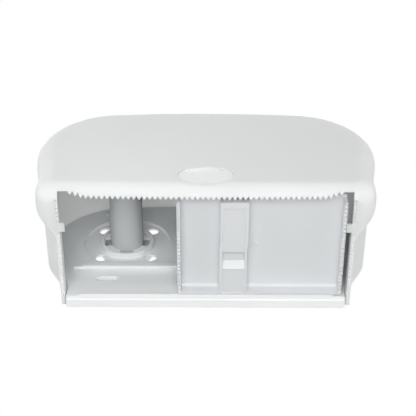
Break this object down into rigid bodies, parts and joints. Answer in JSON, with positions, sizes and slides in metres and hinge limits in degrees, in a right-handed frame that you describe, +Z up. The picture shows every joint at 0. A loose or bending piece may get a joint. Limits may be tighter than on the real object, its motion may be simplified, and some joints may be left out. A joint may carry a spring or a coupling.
{
  "type": "toilet paper dispenser",
  "caption": "Wall-mounted twin toilet paper dispenser: hinged cover with a toothed tear edge, bayonet roll spindles and a sliding shutter.",
  "frame": {"origin": "middle of the four wall slots, on the wall plane", "axes": "+X to the right seen from the front, +Y into the wall, +Z up"},
  "size_m": [0.3212, 0.1291, 0.1666],
  "materials": {
    "cover_plastic": "satin white",
    "plate_plastic": "satin white",
    "spindle_plastic": "satin white",
    "shutter_plastic": "satin white",
    "badge_plastic": "gloss white",
    "lock_chrome": "polished",
    "lock_steel": "zinc plated",
    "pin_steel": "drawn"
  },
  "bodies": {
    "wall_unit": {"back_plate": "plate_plastic", "hinge_pin_left": "pin_steel", "hinge_pin_right": "pin_steel"},
    "cover": {"front_cover": "cover_plastic", "badge": "badge_plastic", "lock_body": "lock_chrome", "lock_nut": "lock_steel"},
    "lock": {"lock_plug": "lock_chrome", "lock_cam": "lock_steel", "cam_screw": "lock_steel"},
    "shutter": {"shutter": "shutter_plastic"},
    "left_spindle": {"spindle_left": "spindle_plastic"},
    "right_spindle": {"spindle_right": "spindle_plastic"}
  },
  "joints": [
    {"name": "cover_hinge", "type": "hinge", "parent": "wall_unit", "child": "cover", "pos_m": [0, -0.0055, -0.0805], "axis": [1, 0, 0], "range_deg": [0, 85]},
    {"name": "shutter_slide", "type": "slide", "parent": "wall_unit", "child": "shutter", "axis": [-1, 0, 0], "range_m": [0, 0.0995]},
    {"name": "left_spindle_twist", "type": "hinge", "parent": "wall_unit", "child": "left_spindle", "pos_m": [-0.0795, -0.01, 0.007], "axis": [0, 1, 0], "range_deg": [0, 45]},
    {"name": "right_spindle_twist", "type": "hinge", "parent": "wall_unit", "child": "right_spindle", "pos_m": [0.0795, -0.01, 0.007], "axis": [0, 1, 0], "range_deg": [0, 45]},
    {"name": "lock_turn", "type": "hinge", "parent": "cover", "child": "lock", "pos_m": [0, -0.034, 0.07], "axis": [0, 0, -1], "range_deg": [0, 90]}
  ]
}
